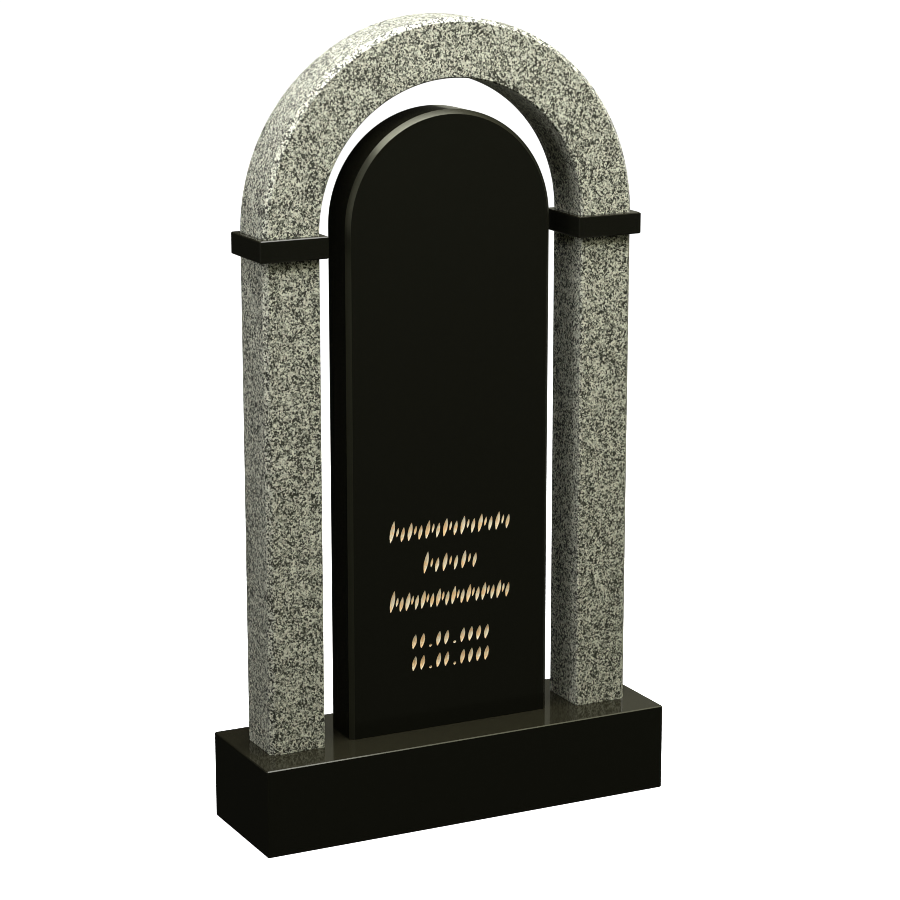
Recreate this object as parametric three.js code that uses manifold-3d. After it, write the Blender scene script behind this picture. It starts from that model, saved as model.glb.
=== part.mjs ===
// Arched headstone in two granites.
// A round-topped black stele stands between two grey pillars. Each pillar carries a black capital,
// and one grey half-round arch springs from the two capitals. A single black plinth carries it all.
// Millimetres. X runs along the plinth, -Y is the front with the inscription, +Z is up, and the
// origin is the middle of the plinth's underside.

import * as THREE from 'three';
import { ConvexGeometry } from 'three/addons/geometries/ConvexGeometry.js';
import { mergeVertices } from 'three/addons/utils/BufferGeometryUtils.js';
import Module from 'manifold-3d';

// The plinth, and the ledge that it leaves in front of the pillars and beyond their outer sides.
const PLINTH = { length: 1000, depth: 300, height: 200, arris: 3, frontLedge: 90, endLedge: 50 };

// The pillars are square. The arch carries on their section, in which the outer front edge has a
// chamfer and the other edges are eased.
const PILLAR = { side: 130, top: 1300, chamfer: 10, arris: 3 };

// A capital stands out from its pillar by the same overhang all round.
const CAPITAL = { height: 48, overhang: 15, arris: 2 };

// Facets along the arch's half circle.
const ARCH_FACETS = 64;

// The stele's sides rise straight to the springing of its round top, whose diameter is its width.
const STELE = { width: 500, thickness: 100, springing: 1350, chamfer: 10, arris: 3, facets: 64 };

// The mortar joint between two stones.
const JOINT = 0.3;

// Where the inscription goes, rows of pointed chisel strokes that spell nothing, cut to a V and
// leaning to the right. base is the height of a row's foot above the ground.
const NAME_ROWS = [
  { base: 645, width: 308, groups: 7 },
  { base: 565, width: 142, groups: 3 },
  { base: 484, width: 306, groups: 8 },
];
const DATE_ROWS = [
  { base: 392, width: 203 },
  { base: 341, width: 203 },
];
const NAME_HEIGHT = 42;
const DATE_HEIGHT = 34;
// A group of a name row, as shares of the group's width, the row's height and the bold stroke.
const GROUP = [
  { across: 0.20, foot: 0, rise: 1, weight: 1 },
  { across: 0.50, foot: 0.3, rise: 0.5, weight: 0.55 },
  { across: 0.78, foot: 0, rise: 0.8, weight: 0.85 },
];
// A date row: eight strokes in its ten places, and two points.
const DATE_PLACES = 10;
const POINT_PLACES = [2, 5];
const STROKE = { width: 10.5, dateWidth: 11, lean: 0.2, firstRise: 1.2, depthShare: 0.26 };
const POINT_SIZE = 7;
// Half widths of a stroke at equal steps from its foot to its tip, as shares of its full width.
const STROKE_PROFILE = [0, 0.36, 0.5, 0.36, 0];

const BLACK_GRANITE = { color: 0x14150f, roughness: 0.12, metalness: 0 };
const GREY_GRANITE = { color: 0x93958a, roughness: 0.4, metalness: 0 };

// Heights and depths that follow from the driving dimensions
const front = -PLINTH.depth / 2 + PLINTH.frontLedge;
const middleY = front + PILLAR.side / 2;
const pillarX = PLINTH.length / 2 - PLINTH.endLedge - PILLAR.side / 2;
const capitalTop = PILLAR.top + JOINT + CAPITAL.height;
const archRadius = pillarX;
const steleFront = middleY - STELE.thickness / 2;
const steleBack = middleY + STELE.thickness / 2;

const wasm = await Module();
wasm.setup();

// A closed three.js geometry as a manifold solid, and back
function toSolid(geometry) {
  const bare = geometry.clone();
  bare.deleteAttribute('normal');
  bare.deleteAttribute('uv');
  const merged = mergeVertices(bare);
  const mesh = new wasm.Mesh({
    numProp: 3,
    vertProperties: new Float32Array(merged.attributes.position.array),
    triVerts: new Uint32Array(merged.index.array),
  });
  return new wasm.Manifold(mesh);
}

function toGeometry(solid) {
  const mesh = solid.getMesh();
  const geometry = new THREE.BufferGeometry();
  geometry.setAttribute('position', new THREE.BufferAttribute(mesh.vertProperties, 3));
  geometry.setIndex(new THREE.BufferAttribute(mesh.triVerts, 1));
  geometry.computeVertexNormals();
  return geometry;
}

function shapeOf(points) {
  return new THREE.Shape(points.map(([x, y]) => new THREE.Vector2(x, y)));
}

// A rectangle, centred, with its corners cut: the front left one, the front right one, and both
// back ones alike
function cutRectangle(width, depth, leftCut, rightCut, backCut) {
  const w = width / 2;
  const d = depth / 2;
  return [
    [-w + leftCut, -d],
    [w - rightCut, -d],
    [w, -d + rightCut],
    [w, d - backCut],
    [w - backCut, d],
    [-w + backCut, d],
    [-w, d - backCut],
    [-w, -d + leftCut],
  ];
}

// A block standing on z = 0 with every edge eased by the same small arris
function easedBlock(width, depth, height, arris) {
  const outline = cutRectangle(width, depth, arris, arris, arris);
  const geometry = new THREE.ExtrudeGeometry(shapeOf(outline), {
    depth: height - 2 * arris,
    bevelThickness: arris,
    bevelSize: arris,
    bevelOffset: -arris,
    bevelSegments: 1,
  });
  return geometry.translate(0, 0, arris);
}

// The section of pillars and arch. Its outer edge lies to the left or to the right.
function pillarSection(outerIsLeft) {
  const { side, chamfer, arris } = PILLAR;
  const [leftCut, rightCut] = outerIsLeft ? [chamfer, arris] : [arris, chamfer];
  return cutRectangle(side, side, leftCut, rightCut, arris);
}

function pillar(outerIsLeft) {
  return new THREE.ExtrudeGeometry(shapeOf(pillarSection(outerIsLeft)), {
    depth: PILLAR.top - PLINTH.height - JOINT,
    bevelEnabled: false,
  });
}

// The half circle that the arch's section follows, from the right springing over to the left
class HalfCircle extends THREE.Curve {
  constructor(radius) {
    super();
    this.radius = radius;
  }

  getPoint(t, target = new THREE.Vector3()) {
    const turn = Math.PI * t;
    return target.set(this.radius * Math.cos(turn), 0, this.radius * Math.sin(turn));
  }

  getTangent(t, target = new THREE.Vector3()) {
    const turn = Math.PI * t;
    return target.set(-Math.sin(turn), 0, Math.cos(turn));
  }
}

// Swept along the half circle, the section's first axis points forwards and its second outwards.
function arch() {
  const turned = pillarSection(false).map(([across, back]) => [-back, across]);
  return new THREE.ExtrudeGeometry(shapeOf(turned), {
    steps: ARCH_FACETS,
    extrudePath: new HalfCircle(archRadius),
    bevelEnabled: false,
  });
}

// The stele's outline from front to back, with one bevel on both faces and a foot that runs on
function steleSlab(from, to, bevel) {
  const radius = STELE.width / 2;
  const outline = new THREE.Shape();
  outline.moveTo(-radius, 0);
  outline.lineTo(radius, 0);
  outline.lineTo(radius, STELE.springing);
  outline.absarc(0, STELE.springing, radius, 0, Math.PI, false);
  outline.lineTo(-radius, 0);
  const geometry = new THREE.ExtrudeGeometry(outline, {
    depth: to - from - 2 * bevel,
    curveSegments: STELE.facets,
    bevelThickness: bevel,
    bevelSize: bevel,
    bevelOffset: -bevel,
    bevelSegments: 1,
  });
  geometry.rotateX(Math.PI / 2);
  return toSolid(geometry.translate(0, to - bevel, 0));
}

// One stroke, pointed at both ends, as the wedge that the chisel takes out of the stele's front
function strokeCut({ x, foot, rise, width }) {
  const depth = width * STROKE.depthShare;
  const steps = STROKE_PROFILE.length - 1;
  const points = [];
  STROKE_PROFILE.forEach((half, i) => {
    const up = (rise * i) / steps;
    const middle = x + STROKE.lean * (up - rise / 2);
    for (const side of [-1, 1]) {
      const across = middle + side * half * width;
      points.push(new THREE.Vector3(across, steleFront - depth, foot + up));
      points.push(new THREE.Vector3(across, steleFront, foot + up));
    }
    if (i > 0 && i < steps) {
      points.push(new THREE.Vector3(middle, steleFront + depth, foot + up));
    }
  });
  return toSolid(new ConvexGeometry(points));
}

function nameStrokes({ base, width, groups }) {
  const groupWidth = width / groups;
  const strokes = [];
  for (let g = 0; g < groups; g += 1) {
    const left = -width / 2 + g * groupWidth;
    for (const part of GROUP) {
      const first = g === 0 && part.rise === 1;
      strokes.push({
        x: left + part.across * groupWidth,
        foot: base + part.foot * NAME_HEIGHT,
        rise: part.rise * NAME_HEIGHT * (first ? STROKE.firstRise : 1),
        width: part.weight * STROKE.width,
      });
    }
  }
  return strokes;
}

function dateStrokes({ base, width }) {
  const place = width / DATE_PLACES;
  return Array.from({ length: DATE_PLACES }, (_, i) => {
    const isPoint = POINT_PLACES.includes(i);
    return {
      x: -width / 2 + (i + 0.5) * place,
      foot: base,
      rise: isPoint ? POINT_SIZE : DATE_HEIGHT,
      width: isPoint ? POINT_SIZE : STROKE.dateWidth,
    };
  });
}

function stele() {
  const runOn = STELE.thickness;
  const chamfered = steleSlab(steleFront, steleBack + runOn, STELE.chamfer);
  const eased = steleSlab(steleFront - runOn, steleBack, STELE.arris);
  const plinthTop = PLINTH.height + JOINT;
  const ground = toSolid(new THREE.BoxGeometry(PLINTH.length, PLINTH.length, 2 * plinthTop));
  let stone = chamfered.intersect(eased).subtract(ground);
  const strokes = [...NAME_ROWS.flatMap(nameStrokes), ...DATE_ROWS.flatMap(dateStrokes)];
  for (const stroke of strokes) {
    stone = stone.subtract(strokeCut(stroke));
  }
  return toGeometry(stone);
}

const headstone = new THREE.Group();

function place(name, geometry, finish, x, y, z) {
  const stone = new THREE.Mesh(geometry, new THREE.MeshStandardMaterial(finish));
  stone.name = name;
  stone.position.set(x, y, z);
  headstone.add(stone);
}

place(
  'plinth',
  easedBlock(PLINTH.length, PLINTH.depth, PLINTH.height, PLINTH.arris),
  BLACK_GRANITE,
  0,
  0,
  0,
);
place('stele', stele(), BLACK_GRANITE, 0, 0, 0);
for (const [side, x] of [['left', -pillarX], ['right', pillarX]]) {
  const capitalSide = PILLAR.side + 2 * CAPITAL.overhang;
  const capital = easedBlock(capitalSide, capitalSide, CAPITAL.height, CAPITAL.arris);
  place(`${side}_pillar`, pillar(x < 0), GREY_GRANITE, x, middleY, PLINTH.height + JOINT);
  place(`${side}_capital`, capital, BLACK_GRANITE, x, middleY, PILLAR.top + JOINT);
}
place('arch', arch(), GREY_GRANITE, 0, middleY, capitalTop + JOINT);

export default headstone;
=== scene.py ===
"""An arched headstone of grey and black granite, dressed round its solid model.

Metres, in the solid model's frame: X runs along the plinth, -Y is the front with the inscription's
rows, Z is up, and the origin is the middle of the plinth's underside.
"""

import math

import bmesh
import bpy
from bpy.props import FloatProperty, FloatVectorProperty, IntProperty, PointerProperty
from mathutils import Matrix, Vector


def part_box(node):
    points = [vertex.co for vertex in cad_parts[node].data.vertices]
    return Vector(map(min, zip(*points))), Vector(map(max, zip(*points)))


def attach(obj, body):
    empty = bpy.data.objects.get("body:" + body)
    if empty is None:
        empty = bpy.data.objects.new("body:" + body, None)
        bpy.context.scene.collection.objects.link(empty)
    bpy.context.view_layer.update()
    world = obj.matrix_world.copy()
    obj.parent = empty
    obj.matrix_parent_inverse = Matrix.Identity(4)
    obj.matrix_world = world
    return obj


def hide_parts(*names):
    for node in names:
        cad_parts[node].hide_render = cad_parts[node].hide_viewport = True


bl_info = {
    "name": "Arched headstone",
    "version": (1, 0, 0),
    "blender": (4, 5, 0),
    "location": "3D View > Sidebar > Headstone",
    "description": "Builds a granite headstone with a round-topped stele under an arch on two pillars",
    "category": "Object",
}

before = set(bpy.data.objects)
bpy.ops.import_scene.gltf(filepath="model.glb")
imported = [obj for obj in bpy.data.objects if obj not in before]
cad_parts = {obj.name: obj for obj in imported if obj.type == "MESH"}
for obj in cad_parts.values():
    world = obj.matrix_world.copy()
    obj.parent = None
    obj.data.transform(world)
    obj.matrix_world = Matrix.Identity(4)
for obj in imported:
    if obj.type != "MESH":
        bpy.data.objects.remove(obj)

BODY = "root"
SIDES = ("left", "right")
MM = 0.001
# Points closer than this are one point.
HAIR = 1e-6

# The finishes: grey granite, black granite with a polish, rubbed on its arrises and honed, and gilding
SPECKLED, POLISHED, EASED, HONED, GILT = (
    "speckled_grey", "polished_black", "eased_black", "honed_black", "gilding"
)
# The gloss of the black finishes as (index of refraction, how much of the blue it keeps)
BLACK_GLOSS = {POLISHED: (1.25, 0.84), EASED: (1.39, 0.84), HONED: (1.58, 0.70)}
# How much of the blue the grey granite's gloss keeps
GREY_GLOSS = 0.80
# A rubbed arris is this many times as rough as a polished face.
RUBBED = 2

# Edges sharper than this stay crisp; the flats round a curve are smoothed into each other.
CREASE = math.radians(20)

# The rows of the inscription's place, in metres: the height of a row's foot above the ground, the
# row's width, and how many groups of strokes a name row has.
NAME_ROWS = ((0.645, 0.308, 7), (0.565, 0.142, 3), (0.484, 0.306, 8))
DATE_ROWS = ((0.392, 0.203), (0.341, 0.203))
# The strokes of a group: place across the group, foot and rise as shares of the row's height, and
# weight as a share of the bold stroke's width.
GROUP = ((0.20, 0.0, 1.0, 1.0), (0.50, 0.3, 0.5, 0.55), (0.78, 0.0, 0.8, 0.85))
# A date row has ten places, and two of them hold a point.
DATE_PLACES = 10
POINT_PLACES = (2, 5)
# The first stroke of a name row is this many times as high as its other tall strokes.
FIRST_RISE = 1.2
# A stroke swells from its points to its middle as a sine to this power.
BELLY = 0.8
# All rows lie within this distance of the stele's middle.
ROWS_REACH = 0.2
# A face of the stele is a chamfer where its normal's part along Y is between these.
CHAMFER_SLOPE = (0.2, 0.95)

# How far the floor reaches, how far it lies below the plinth, its colour and its own light
FLOOR_REACH = 60.0
FLOOR_DROP = 0.0005
FLOOR_COLOUR = (0.75, 0.75, 0.75)
FLOOR_LIGHT = 1.05
# Width of the picture's pixel filter, which keeps the grains as crisp as in a photograph
PIXEL_FILTER = 0.95

# A mix node's two sockets for numbers and two for colours, and its output for a colour
NUMBERS, COLOURS, MIXED_COLOUR = (2, 3), (6, 7), 2

# Light colours: the softboxes above and on the left are a little cool, the others warm or plain.
COOL, PLAIN, WARM = (1.0, 1.0, 1.10), (1.0, 1.0, 1.0), (1.0, 1.0, 0.80)
# The softboxes as (name, middle, the point that they face, width, height, colour), in metres
SOFTBOXES = (
    ("overhead", (-0.1, -0.85, 3.9), (-0.1, -0.85, 0.0), 3.0, 2.5, COOL),
    ("right", (2.8, -2.5, 4.3), (0.0, 0.0, 1.0), 4.0, 2.8, WARM),
    ("left", (-3.0, -0.3, 2.3), (0.0, 0.0, 1.0), 1.3, 2.2, COOL),
    ("back", (1.0, 2.6, 4.3), (0.0, 0.0, 1.2), 2.6, 1.8, PLAIN),
    ("rear", (3.1, 2.5, 2.2), (0.0, 0.0, 1.0), 1.6, 2.4, PLAIN),
    ("low", (2.3, 3.6, 1.4), (0.2, 0.0, 0.9), 2.2, 1.3, WARM),
)
# The paler parts of the surroundings as (name, direction of the middle, cosine of the angle from it
# where the part ends, and where it is full)
GLOWS = (
    ("front_glow", (0.45, -0.86, -0.24), 0.60, 0.98),
    ("back_glow", (0.45, 0.86, 0.24), 0.75, 0.98),
    ("left_glow", (-0.80, -0.45, 0.38), 0.65, 0.98),
    ("rear_glow", (0.30, 0.88, -0.36), 0.78, 0.98),
)


def length(name, description, default):
    """A length in metres that a user would change."""
    return FloatProperty(
        name=name, description=description, default=default, min=0.0, max=1.0,
        precision=4, subtype="DISTANCE", unit="LENGTH",
    )


def colour(name, description, default):
    """A linear colour that a user would change."""
    return FloatVectorProperty(
        name=name, description=description, default=default, min=0.0, max=1.0, size=3, subtype="COLOR",
    )


def share(name, description, default):
    """A plain number from 0 to 1."""
    return FloatProperty(
        name=name, description=description, default=default, min=0.0, max=1.0, subtype="FACTOR",
    )


def radiance(name, description, default):
    """The brightness of a light's surface."""
    return FloatProperty(name=name, description=description, default=default, min=0.0, soft_max=20.0)


class HeadstoneCut(bpy.types.PropertyGroup):
    """How the stones are cut."""

    plinth_arris: length("Plinth arris", "Width of the eased edges of the plinth", 2 * MM)
    capital_arris: length("Capital arris", "Width of the eased edges of a capital", 2 * MM)
    front_chamfer: length(
        "Front chamfer", "Chamfer round the stele's front and along the outer front edges", 10 * MM,
    )
    pillar_arris: length("Pillar arris", "Eased inner and back edges of the pillars and the arch", 3 * MM)
    stele_arris: length("Stele back arris", "Eased back edge of the stele", 3 * MM)
    steps: IntProperty(
        name="Steps", description="Flats along each half circle", default=144, min=24, max=512,
    )


class HeadstoneStrokes(bpy.types.PropertyGroup):
    """The gilt strokes in the inscription's place, which spell nothing."""

    name_height: length("Name row height", "Height of a full stroke in the three upper rows", 0.042)
    date_height: length("Date row height", "Height of a stroke in the two lower rows", 0.034)
    name_width: length("Name stroke width", "Widest part of a bold stroke in the upper rows", 0.0105)
    date_width: length("Date stroke width", "Widest part of a stroke in the lower rows", 0.011)
    point_size: length("Point size", "Width and height of the points in the lower rows", 0.007)
    lean: share("Lean", "How far a stroke leans to the right for its height", 0.2)
    depth: share("Depth", "Depth of the V cut as a share of the stroke's width", 0.26)
    steps: IntProperty(
        name="Steps", description="Steps along a stroke from foot to tip", default=12, min=4, max=48,
    )


class HeadstoneGreyGranite(bpy.types.PropertyGroup):
    """The speckled grey granite of the pillars and the arch."""

    pale: colour("Feldspar", "Colour of the pale grains", (0.65, 0.66, 0.51))
    cream: colour("Cream feldspar", "Colour of the warmer pale grains", (0.45, 0.44, 0.33))
    quartz: colour("Quartz", "Colour of the middle grey grains", (0.12, 0.124, 0.092))
    mica: colour("Mica", "Colour of the near-black grains", (0.008, 0.0083, 0.006))
    grain: length("Grain", "Size of the pale grains", 0.0045)
    fleck: length("Fleck", "Size of the dark flecks", 0.0034)


class HeadstoneBlackGranite(bpy.types.PropertyGroup):
    """The polished black granite of the stele, the plinth and the capitals."""

    ground: colour("Ground", "Colour of the black ground", (0.0060, 0.0061, 0.0039))
    grain_colour: colour("Grains", "Colour of the slightly lighter grains", (0.0078, 0.0079, 0.0052))
    honed_colour: colour("Chamfers", "Colour of the honed chamfers", (0.0085, 0.0087, 0.0055))
    grain: length("Grain", "Size of the grains", 0.0016)
    polish: share("Roughness", "Roughness of the polished faces", 0.08)
    honed: share("Chamfer roughness", "Roughness of the honed chamfers", 0.28)
    # The pale warm film on faces that look up is thin dust and a painted sheen that lightens the tops.
    dust_and_sheen_colour: colour("Dust", "Colour of the thin dust on faces that look up", (0.074, 0.066, 0.032))
    dust_and_sheen: share("Dust share", "How much of an upper face the dust covers", 0.12)


class HeadstoneGilding(bpy.types.PropertyGroup):
    """The gold in the strokes."""

    warm: colour("Warm gold", "Colour of the redder stretches", (1.0, 0.70, 0.36))
    light: colour("Pale gold", "Colour of the paler stretches", (1.0, 0.87, 0.61))
    roughness: share("Roughness", "Roughness of the gilding", 0.42)


class HeadstoneStudio(bpy.types.PropertyGroup):
    """Light, floor and camera."""

    overhead: radiance("Overhead", "Radiance of the softbox over the headstone", 10.5)
    right: radiance("Right", "Radiance of the large softbox high on the right", 3.8)
    left: radiance("Left", "Radiance of the tall softbox on the left", 5.4)
    back: radiance("Back", "Radiance of the softbox high behind the headstone", 1.2)
    rear: radiance("Rear", "Radiance of the tall softbox behind on the right", 8.0)
    low: radiance("Low", "Radiance of the softbox low behind on the right", 0.29)
    walls: radiance("Walls", "Radiance of the dim surroundings", 0.015)
    front_glow: radiance("Front glow", "Added radiance of the surroundings in front", 0.1)
    back_glow: radiance("Back glow", "Added radiance of the surroundings low behind", 0.006)
    left_glow: radiance("Left glow", "Added radiance of the surroundings in front on the left", 0.2)
    rear_glow: radiance("Rear glow", "Added radiance of the surroundings behind, below the skyline", 0.09)
    camera_place: FloatVectorProperty(
        name="Camera place", description="Where the camera stands", default=(-2.731, -5.441, 2.281),
        size=3, subtype="TRANSLATION", unit="LENGTH",
    )
    camera_yaw: FloatProperty(
        name="Camera turn", description="How far the camera looks to the right of +Y",
        default=math.radians(26.83), subtype="ANGLE", unit="ROTATION",
    )
    camera_pitch: FloatProperty(
        name="Camera tilt", description="How far the camera looks down",
        default=math.radians(13.38), subtype="ANGLE", unit="ROTATION",
    )
    lens: FloatProperty(
        name="Lens", description="Focal length for a 36 mm wide picture", default=111.7, min=20.0,
        unit="CAMERA",
    )


class HeadstoneSettings(bpy.types.PropertyGroup):
    """Everything a user may change."""

    cut: PointerProperty(type=HeadstoneCut)
    strokes: PointerProperty(type=HeadstoneStrokes)
    grey: PointerProperty(type=HeadstoneGreyGranite)
    black: PointerProperty(type=HeadstoneBlackGranite)
    gilding: PointerProperty(type=HeadstoneGilding)
    studio: PointerProperty(type=HeadstoneStudio)


# Material nodes


class Nodes:
    """Short calls that add and join the nodes of one material."""

    def __init__(self, name):
        self.material = bpy.data.materials.new(name)
        self.material.use_nodes = True
        self.tree = self.material.node_tree
        self.shader = self.tree.nodes["Principled BSDF"]
        self.place = self.tree.nodes.new("ShaderNodeTexCoord").outputs["Object"]

    def add(self, kind, **settings):
        node = self.tree.nodes.new(kind)
        for name, value in settings.items():
            setattr(node, name, value)
        return node

    def feed(self, socket, value):
        """Links a socket to another socket, or sets it to a plain value."""
        if isinstance(value, bpy.types.NodeSocket):
            self.tree.links.new(value, socket)
        elif isinstance(value, (tuple, list)) and len(value) == 3 and socket.type == "RGBA":
            socket.default_value = (*value, 1.0)
        else:
            socket.default_value = value

    def maths(self, operation, *values):
        node = self.add("ShaderNodeMath", operation=operation)
        for socket, value in zip(node.inputs, values):
            self.feed(socket, value)
        return node.outputs[0]

    def mix(self, factor, a, b):
        """Colour a where factor is 0 and colour b where it is 1."""
        node = self.add("ShaderNodeMix", data_type="RGBA")
        self.feed(node.inputs["Factor"], factor)
        self.feed(node.inputs[COLOURS[0]], a)
        self.feed(node.inputs[COLOURS[1]], b)
        return node.outputs[MIXED_COLOUR]

    def spread(self, value, low, high, to_low=0.0, to_high=1.0):
        """value's stretch from low to high, eased onto the stretch from to_low to to_high."""
        node = self.add("ShaderNodeMapRange", interpolation_type="SMOOTHSTEP")
        for name, part in zip(
            ("Value", "From Min", "From Max", "To Min", "To Max"), (value, low, high, to_low, to_high)
        ):
            self.feed(node.inputs[name], part)
        return node.outputs["Result"]

    def noise(self, size, detail=2.0):
        """Soft clouds of about the given size."""
        node = self.add("ShaderNodeTexNoise")
        self.feed(node.inputs["Vector"], self.place)
        self.feed(node.inputs["Scale"], 1 / size)
        self.feed(node.inputs["Detail"], detail)
        return node.outputs

    def cells(self, size, place):
        """Grains of about the given size; each cell has a random colour of its own."""
        node = self.add("ShaderNodeTexVoronoi", feature="F1")
        self.feed(node.inputs["Vector"], place)
        self.feed(node.inputs["Scale"], 1 / size)
        split = self.add("ShaderNodeSeparateColor")
        self.feed(split.inputs[0], node.outputs["Color"])
        return split.outputs

    def warped(self, size, reach):
        """The place, pushed about by noise, so that grain outlines aren't straight."""
        push = self.add("ShaderNodeVectorMath", operation="MULTIPLY_ADD")
        self.feed(push.inputs[0], self.noise(size)["Color"])
        push.inputs[1].default_value = (reach,) * 3
        self.feed(push.inputs[2], self.place)
        return push.outputs[0]

    def bump(self, height, strength, distance):
        """Raises the surface by the height socket, over the given distance in metres."""
        node = self.add("ShaderNodeBump")
        self.feed(node.inputs["Height"], height)
        node.inputs["Strength"].default_value = strength
        node.inputs["Distance"].default_value = distance
        self.feed(self.shader.inputs["Normal"], node.outputs["Normal"])

    def finish(self, **values):
        """Sets or links the shader's sockets of those names, and returns the material."""
        for name, value in values.items():
            self.feed(self.shader.inputs[name.replace("_", " ")], value)
        return self.material


def grey_granite(look):
    """Pale feldspar and grey quartz grains, closely flecked with near-black mica."""
    n = Nodes(SPECKLED)
    bent = n.warped(look.grain * 1.2, look.grain * 0.7)
    grain = n.cells(look.grain, bent)
    crumb = n.cells(look.grain * 0.45, bent)
    fleck = n.cells(look.fleck, bent)
    patches = n.noise(look.grain * 5)["Fac"]
    # Grains and the crumbs in them go from quartz to feldspar; one grain in six or so is cream.
    tone = n.maths("MULTIPLY_ADD", grain["Red"], 0.55, n.maths("MULTIPLY", crumb["Red"], 0.45))
    base = n.mix(n.spread(tone, 0.30, 0.70), look.quartz[:], look.pale[:])
    base = n.mix(n.spread(grain["Green"], 0.80, 0.84, 0.0, 0.8), base, look.cream[:])
    # Flecks crowd together where the patches are strong, and their crumbs are a little uneven.
    crowd = n.maths("MULTIPLY_ADD", patches, 0.9, fleck["Blue"])
    uneven = n.spread(crumb["Green"], 0.0, 0.6, 0.84, 1.0)
    dark = n.maths("MULTIPLY", n.spread(crowd, 1.11, 1.15), uneven)
    base = n.mix(dark, base, look.mica[:])
    n.bump(n.maths("MULTIPLY", dark, -1.0), 0.2, 0.0003)
    return n.finish(
        Base_Color=base,
        Roughness=n.spread(dark, 0.0, 1.0, 0.4, 0.5),
        IOR=1.5,
        Specular_Tint=(1.0, 1.0, GREY_GLOSS),
    )


def black_granite(look, name, ground, rough, ior, blue):
    """Near-black stone whose fine grains barely show, with a pale warm film where it looks up: thin dust
    and a painted sheen that lightens the tops.
    """
    n = Nodes(name)
    grain = n.cells(look.grain, n.warped(look.grain * 1.5, look.grain))
    clouds = n.noise(look.grain * 14, 3.0)["Fac"]
    shown = n.maths("MULTIPLY", n.spread(grain["Red"], 0.4, 1.0), n.spread(clouds, 0.3, 0.7, 0.5, 1.0))
    lit = tuple(a * b / c for a, b, c in zip(ground, look.grain_colour, look.ground))
    facing = n.add("ShaderNodeSeparateXYZ")
    n.feed(facing.inputs[0], n.add("ShaderNodeNewGeometry").outputs["Normal"])
    # Faces that look up are lightened and warmed: thin dust and a painted sheen on the tops.
    upward = n.spread(facing.outputs["Z"], 0.3, 1.0, 0.0, look.dust_and_sheen)
    top_dust_and_sheen = n.maths("MULTIPLY", upward, n.spread(clouds, 0.2, 0.8, 0.9, 1.1))
    return n.finish(
        Base_Color=n.mix(top_dust_and_sheen, n.mix(shown, ground[:], lit), look.dust_and_sheen_colour[:]),
        Roughness=n.spread(grain["Green"], 0.0, 1.0, rough, rough * 1.3),
        IOR=ior,
        Specular_Tint=(1.0, 1.0, blue),
    )


def gilding(look):
    """Gold leaf laid in the cuts, a little uneven in tone."""
    n = Nodes(GILT)
    tone = n.noise(12 * MM)["Fac"]
    tooth = n.noise(0.6 * MM)["Fac"]
    n.bump(tooth, 0.2, 0.0002)
    return n.finish(
        Base_Color=n.mix(n.spread(tone, 0.38, 0.62), look.warm[:], look.light[:]),
        Roughness=n.spread(tooth, 0.3, 0.7, look.roughness * 0.9, look.roughness * 1.2),
        Metallic=0.12,
    )


def finish_called(name):
    """The finish of that name, made when the first stone asks for it."""
    if name not in bpy.data.materials:
        settings = bpy.context.scene.headstone
        black = settings.black
        if name == SPECKLED:
            grey_granite(settings.grey)
        elif name == GILT:
            gilding(settings.gilding)
        else:
            ground, rough = {
                POLISHED: (black.ground, black.polish),
                EASED: (black.ground, RUBBED * black.polish),
                HONED: (black.honed_colour, black.honed),
            }[name]
            black_granite(black, name, ground, rough, *BLACK_GLOSS[name])
    return bpy.data.materials[name]


# Stone cutting


def loft(name, rings):
    """A closed stone through a row of outlines with the same number of points, flat at both ends."""
    build = bmesh.new()
    made = [[build.verts.new(point) for point in ring] for ring in rings]
    for lower, upper in zip(made, made[1:]):
        for i, corner in enumerate(lower):
            j = (i + 1) % len(lower)
            build.faces.new((corner, lower[j], upper[j], upper[i]))
    build.faces.new(reversed(made[0]))
    build.faces.new(made[-1])
    bmesh.ops.recalc_face_normals(build, faces=build.faces)
    mesh = bpy.data.meshes.new(name)
    build.to_mesh(mesh)
    build.free()
    stone = bpy.data.objects.new(name, mesh)
    bpy.context.scene.collection.objects.link(stone)
    return stone


def section(width, depth, left_cut, right_cut, back_cut):
    """A rectangle round the origin with its corners cut: the front two, and both back ones alike."""
    w, d = width / 2, depth / 2
    return (
        (-w + left_cut, -d), (w - right_cut, -d), (w, -d + right_cut), (w, d - back_cut),
        (w - back_cut, d), (-w + back_cut, d), (-w, d - back_cut), (-w, -d + left_cut),
    )


def box_middle(node):
    """A solid's box: its lowest and highest corner, its middle and its size."""
    low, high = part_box(node)
    return low, high, (low + high) / 2, high - low


def eased_block(name, node, arris):
    """A square-cut block that fills its node's box, with every edge eased."""
    low, high, middle, size = box_middle(node)
    rings = []
    for z, inset in ((low.z, arris), (low.z + arris, 0), (high.z - arris, 0), (high.z, arris)):
        outline = section(size.x - 2 * inset, size.y - 2 * inset, arris, arris, arris)
        rings.append([Vector((middle.x + x, middle.y + y, z)) for x, y in outline])
    return loft(name, rings)


def dress(stone, node, slot, *materials):
    """Gives a finished stone its materials and smooth curves, and puts it in its node's place."""
    for material in materials:
        stone.data.materials.append(finish_called(material))
    stone.data.shade_smooth()
    stone.data.set_sharp_from_angle(angle=CREASE)
    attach(stone, BODY)
    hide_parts(node)


def rub_slopes(stone):
    """Gives the second material to the faces that lie along no axis of the stone."""
    for face in stone.data.polygons:
        if max(abs(part) for part in face.normal) < math.cos(CREASE):
            face.material_index = 1


class HEADSTONE_OT_plinth(bpy.types.Operator):
    """Make the black plinth that carries the other stones"""

    bl_idname = "headstone.plinth"
    bl_label = "Plinth"

    def execute(self, context):
        cut = context.scene.headstone.cut
        stone = eased_block("plinth_stone", "plinth", cut.plinth_arris)
        dress(stone, "plinth", "black_granite", POLISHED, EASED)
        rub_slopes(stone)
        return {"FINISHED"}


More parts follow.
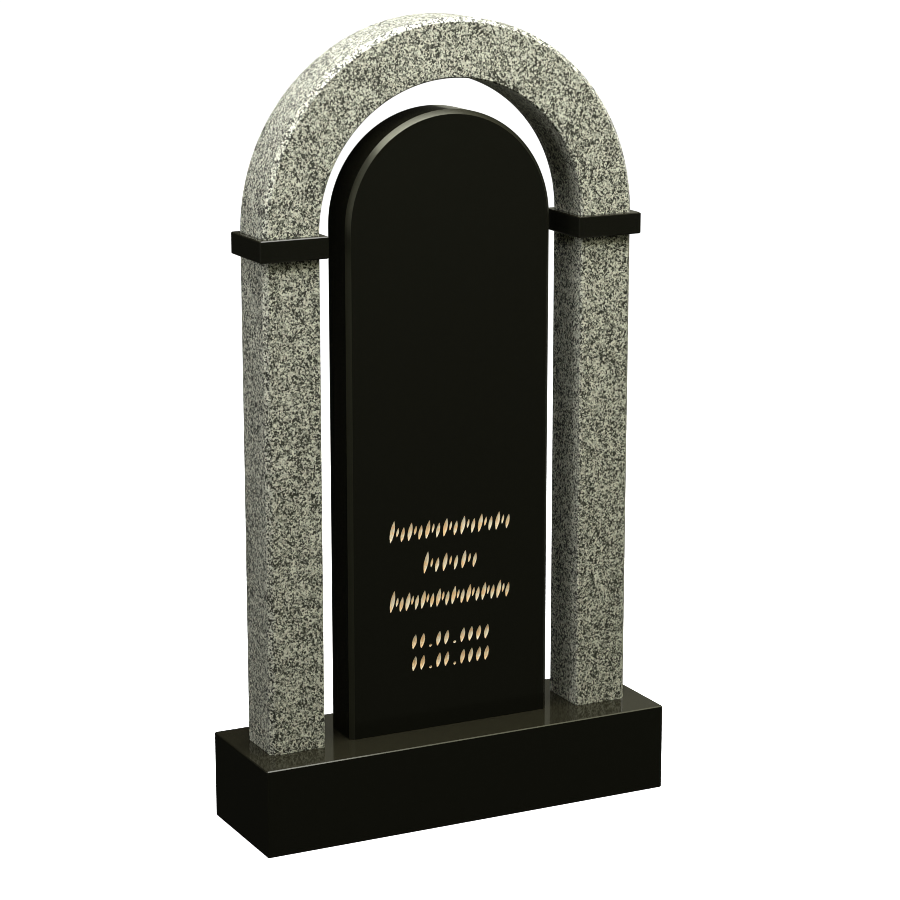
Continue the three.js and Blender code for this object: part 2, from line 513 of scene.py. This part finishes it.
class HEADSTONE_OT_pillars(bpy.types.Operator):
    """Make the two grey pillars, chamfered on their outer front edges"""

    bl_idname = "headstone.pillars"
    bl_label = "Pillars"

    def execute(self, context):
        cut = context.scene.headstone.cut
        for side in SIDES:
            node = f"{side}_pillar"
            low, high, middle, size = box_middle(node)
            cuts = (cut.pillar_arris, cut.front_chamfer)
            if side == "left":
                cuts = cuts[::-1]
            plan = section(size.x, size.y, *cuts, cut.pillar_arris)
            rings = [[Vector((middle.x + x, middle.y + y, z)) for x, y in plan] for z in (low.z, high.z)]
            dress(loft(f"{node}_stone", rings), node, "grey_granite", SPECKLED)
        return {"FINISHED"}


class HEADSTONE_OT_capitals(bpy.types.Operator):
    """Make the two flat black capitals"""

    bl_idname = "headstone.capitals"
    bl_label = "Capitals"

    def execute(self, context):
        cut = context.scene.headstone.cut
        for side in SIDES:
            node = f"{side}_capital"
            stone = eased_block(f"{node}_stone", node, cut.capital_arris)
            dress(stone, node, "black_granite", POLISHED, EASED)
            rub_slopes(stone)
        return {"FINISHED"}


class HEADSTONE_OT_arch(bpy.types.Operator):
    """Make the grey half-round arch, which carries on the pillars' section"""

    bl_idname = "headstone.arch"
    bl_label = "Arch"

    def execute(self, context):
        cut = context.scene.headstone.cut
        low, _, middle, size = box_middle("arch")
        width = box_middle("left_pillar")[-1].x
        radius = size.x / 2 - width / 2
        plan = section(width, size.y, cut.pillar_arris, cut.front_chamfer, cut.pillar_arris)
        centre = Vector((middle.x, middle.y, low.z))
        rings = []
        for step in range(cut.steps + 1):
            turn = math.pi * step / cut.steps
            ray = Vector((math.cos(turn), 0, math.sin(turn)))
            rings.append([centre + ray * (radius + out) + Vector((0, back, 0)) for out, back in plan])
        dress(loft("arch_stone", rings), "arch", "grey_granite", SPECKLED)
        return {"FINISHED"}


def stele_ring(y, inset, steps):
    """The stele's outline at one depth: straight sides and a half circle, taken in by inset."""
    low, high, middle, size = box_middle("stele")
    radius = size.x / 2
    springing = high.z - radius
    reach = radius - inset
    points = [Vector((middle.x - reach, y, low.z)), Vector((middle.x + reach, y, low.z))]
    for step in range(steps + 1):
        turn = math.pi * step / steps
        points.append(Vector((middle.x + reach * math.cos(turn), y, springing + reach * math.sin(turn))))
    return points


def stroke_list(strokes):
    """Each stroke of the rows as (middle across, foot, rise, width)."""
    found = []
    for base, width, groups in NAME_ROWS:
        group_width = width / groups
        for group in range(groups):
            left = -width / 2 + group * group_width
            for across, foot, rise, weight in GROUP:
                first = FIRST_RISE if group == 0 and rise == 1.0 else 1.0
                found.append((
                    left + across * group_width,
                    base + foot * strokes.name_height,
                    rise * strokes.name_height * first,
                    weight * strokes.name_width,
                ))
    for base, width in DATE_ROWS:
        place = width / DATE_PLACES
        for i in range(DATE_PLACES):
            point = i in POINT_PLACES
            found.append((
                -width / 2 + (i + 0.5) * place,
                base,
                strokes.point_size if point else strokes.date_height,
                strokes.point_size if point else strokes.date_width,
            ))
    return found


def add_stroke(build, strokes, face_y, across, foot, rise, width):
    """Adds the wedge that the chisel takes out: pointed at both ends, V shaped across."""
    depth = width * strokes.depth
    steps = strokes.steps
    front, rim, keel = [], [], []
    for step in range(steps + 1):
        up = step / steps
        half = width / 2 * math.sin(math.pi * up) ** BELLY
        middle = across + strokes.lean * rise * (up - 0.5)
        z = foot + rise * up
        sink = depth * min(1.0, half / (width / 2))
        front.append([build.verts.new((middle + s * half, face_y - depth, z)) for s in (-1, 1)])
        rim.append([build.verts.new((middle + s * half, face_y, z)) for s in (-1, 1)])
        keel.append(build.verts.new((middle, face_y + sink, z)))
    for i in range(steps):
        j = i + 1
        build.faces.new((front[i][0], front[i][1], front[j][1], front[j][0]))
        for side in (0, 1):
            build.faces.new((front[i][side], rim[i][side], rim[j][side], front[j][side]))
            build.faces.new((rim[i][side], keel[i], keel[j], rim[j][side]))


def stroke_wedges(strokes, face_y):
    """All the wedges in one object, to be taken out of the face at that depth."""
    build = bmesh.new()
    for stroke in stroke_list(strokes):
        add_stroke(build, strokes, face_y, *stroke)
    bmesh.ops.remove_doubles(build, verts=build.verts, dist=HAIR)
    bmesh.ops.dissolve_degenerate(build, edges=build.edges, dist=HAIR)
    bmesh.ops.recalc_face_normals(build, faces=build.faces)
    mesh = bpy.data.meshes.new("stroke_wedges")
    build.to_mesh(mesh)
    build.free()
    wedges = bpy.data.objects.new("stroke_wedges", mesh)
    bpy.context.scene.collection.objects.link(wedges)
    return wedges


def carve(stone, tool):
    """Cuts tool out of stone for good, and takes tool away."""
    cut = stone.modifiers.new("carve", "BOOLEAN")
    cut.operation = "DIFFERENCE"
    cut.solver = "EXACT"
    cut.object = tool
    bpy.context.view_layer.update()
    carved = bpy.data.meshes.new_from_object(stone.evaluated_get(bpy.context.evaluated_depsgraph_get()))
    stone.modifiers.clear()
    plain = stone.data
    stone.data = carved
    carved.name = stone.name
    bpy.data.meshes.remove(plain)
    bpy.data.meshes.remove(tool.data)


def finish_stele(stone, front, deepest, rows_top):
    """Gilds the stele's faces inside the strokes and hones its chamfers; the rest is polished."""
    slots = (POLISHED, HONED, GILT)
    dress(stone, "stele", "black_granite", *slots)
    least, most = CHAMFER_SLOPE
    for face in stone.data.polygons:
        behind = face.center.y - front
        in_rows = face.center.z < rows_top and abs(face.center.x) < ROWS_REACH
        if HAIR < behind < deepest and in_rows:
            face.material_index = slots.index(GILT)
        elif least < abs(face.normal.y) < most:
            face.material_index = slots.index(HONED)


class HEADSTONE_OT_stele(bpy.types.Operator):
    """Make the black stele, and cut and gild the rows of strokes"""

    bl_idname = "headstone.stele"
    bl_label = "Stele"

    def execute(self, context):
        settings = context.scene.headstone
        cut = settings.cut
        low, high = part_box("stele")
        chamfer, arris = cut.front_chamfer, cut.stele_arris
        rings = [
            stele_ring(y, inset, cut.steps)
            for y, inset in (
                (low.y, chamfer), (low.y + chamfer, 0), (high.y - arris, 0), (high.y, arris),
            )
        ]
        stone = loft("stele_stone", rings)
        carve(stone, stroke_wedges(settings.strokes, low.y))
        highest_base = NAME_ROWS[0][0]
        finish_stele(stone, low.y, chamfer, highest_base + 2 * settings.strokes.name_height)
        return {"FINISHED"}


class HEADSTONE_OT_stage(bpy.types.Operator):
    """Set up the pale floor, the soft light and the camera"""

    bl_idname = "headstone.stage"
    bl_label = "Stage"

    def execute(self, context):
        studio = context.scene.headstone.studio
        make_floor()
        make_surroundings(studio)
        make_softboxes(studio)
        make_camera(studio)
        scene = context.scene
        scene.view_settings.view_transform = "Standard"
        scene.cycles.use_denoising = True
        scene.cycles.filter_width = PIXEL_FILTER
        return {"FINISHED"}


def make_floor():
    """A white floor that the light doesn't bounce off onto the stones."""
    reach = FLOOR_REACH
    corners = [(-reach, -reach, 0), (reach, -reach, 0), (reach, reach, 0), (-reach, reach, 0)]
    mesh = bpy.data.meshes.new("floor")
    mesh.from_pydata(corners, [], [(0, 1, 2, 3)])
    floor = bpy.data.objects.new("floor", mesh)
    bpy.context.scene.collection.objects.link(floor)
    floor.location.z = -FLOOR_DROP
    n = Nodes("floor")
    n.finish(
        Base_Color=FLOOR_COLOUR, Roughness=1.0, Emission_Color=PLAIN, Emission_Strength=FLOOR_LIGHT,
    )
    mesh.materials.append(n.material)
    floor.visible_diffuse = False
    floor.visible_glossy = False


def make_surroundings(studio):
    """Dim walls with a few paler parts, bright white where the camera sees them."""
    world = bpy.data.worlds.new("surroundings")
    bpy.context.scene.world = world
    world.use_nodes = True
    tree = world.node_tree
    tree.nodes.clear()
    place = tree.nodes.new("ShaderNodeTexCoord")
    total = None
    for name, direction, edge, full in GLOWS:
        facing = tree.nodes.new("ShaderNodeVectorMath")
        facing.operation = "DOT_PRODUCT"
        tree.links.new(place.outputs["Generated"], facing.inputs[0])
        facing.inputs[1].default_value = direction
        glow = tree.nodes.new("ShaderNodeMapRange")
        glow.label = name
        glow.interpolation_type = "SMOOTHSTEP"
        tree.links.new(facing.outputs["Value"], glow.inputs["Value"])
        glow.inputs["From Min"].default_value = edge
        glow.inputs["From Max"].default_value = full
        glow.inputs["To Min"].default_value = 0.0
        glow.inputs["To Max"].default_value = getattr(studio, name)
        added = tree.nodes.new("ShaderNodeMath")
        tree.links.new(glow.outputs["Result"], added.inputs[0])
        if total is None:
            added.inputs[1].default_value = studio.walls
        else:
            tree.links.new(total, added.inputs[1])
        total = added.outputs[0]
    sight = tree.nodes.new("ShaderNodeLightPath")
    strength = tree.nodes.new("ShaderNodeMix")
    strength.data_type = "FLOAT"
    tree.links.new(sight.outputs["Is Camera Ray"], strength.inputs["Factor"])
    tree.links.new(total, strength.inputs[NUMBERS[0]])
    strength.inputs[NUMBERS[1]].default_value = 1.0
    tone = tree.nodes.new("ShaderNodeMix")
    tone.data_type = "RGBA"
    tree.links.new(sight.outputs["Is Camera Ray"], tone.inputs["Factor"])
    tone.inputs[COLOURS[0]].default_value = (*WARM, 1.0)
    tone.inputs[COLOURS[1]].default_value = (*PLAIN, 1.0)
    backdrop = tree.nodes.new("ShaderNodeBackground")
    tree.links.new(tone.outputs[MIXED_COLOUR], backdrop.inputs["Color"])
    tree.links.new(strength.outputs[0], backdrop.inputs["Strength"])
    out = tree.nodes.new("ShaderNodeOutputWorld")
    tree.links.new(backdrop.outputs[0], out.inputs[0])


def make_softboxes(studio):
    for name, place, target, width, height, tint in SOFTBOXES:
        light = bpy.data.lights.new(f"{name}_softbox", "AREA")
        light.shape = "RECTANGLE"
        light.size = width
        light.size_y = height
        light.color = tint
        light.energy = math.pi * getattr(studio, name) * width * height
        softbox = bpy.data.objects.new(light.name, light)
        softbox.location = place
        softbox.rotation_euler = (Vector(place) - Vector(target)).to_track_quat("Z", "Y").to_euler()
        softbox.visible_camera = False
        bpy.context.scene.collection.objects.link(softbox)


def make_camera(studio):
    lens = bpy.data.cameras.new("camera")
    lens.lens = studio.lens
    camera = bpy.data.objects.new("camera", lens)
    camera.location = studio.camera_place
    camera.rotation_euler = (math.pi / 2 - studio.camera_pitch, 0, -studio.camera_yaw)
    bpy.context.scene.collection.objects.link(camera)
    bpy.context.scene.camera = camera


class HEADSTONE_PT_panel(bpy.types.Panel):
    """The headstone's stones and settings in the sidebar"""

    bl_idname = "HEADSTONE_PT_panel"
    bl_label = "Arched headstone"
    bl_space_type = "VIEW_3D"
    bl_region_type = "UI"
    bl_category = "Headstone"

    def draw(self, context):
        for step in STEPS:
            self.layout.operator(step.bl_idname)
        settings = context.scene.headstone
        for group in (
            settings.cut, settings.strokes,
            settings.grey, settings.black, settings.gilding,
            settings.studio,
        ):
            box = self.layout.box()
            for name in group.bl_rna.properties.keys():
                if name not in ("rna_type", "name"):
                    box.prop(group, name)


# The operators in the order that main calls them
STEPS = (
    HEADSTONE_OT_plinth,
    HEADSTONE_OT_stele,
    HEADSTONE_OT_pillars,
    HEADSTONE_OT_capitals,
    HEADSTONE_OT_arch,
    HEADSTONE_OT_stage,
)
CLASSES = (
    HeadstoneCut,
    HeadstoneStrokes,
    HeadstoneGreyGranite,
    HeadstoneBlackGranite,
    HeadstoneGilding,
    HeadstoneStudio,
    HeadstoneSettings,
    *STEPS,
    HEADSTONE_PT_panel,
)


def register():
    for kind in CLASSES:
        bpy.utils.register_class(kind)
    bpy.types.Scene.headstone = PointerProperty(type=HeadstoneSettings)


def unregister():
    del bpy.types.Scene.headstone
    for kind in reversed(CLASSES):
        bpy.utils.unregister_class(kind)


def main():
    """Registers the add-on and makes the stones and the stage."""
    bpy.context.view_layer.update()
    register()
    for step in STEPS:
        group, name = step.bl_idname.split(".")
        getattr(getattr(bpy.ops, group), name)()


if __name__ == "__main__":
    main()
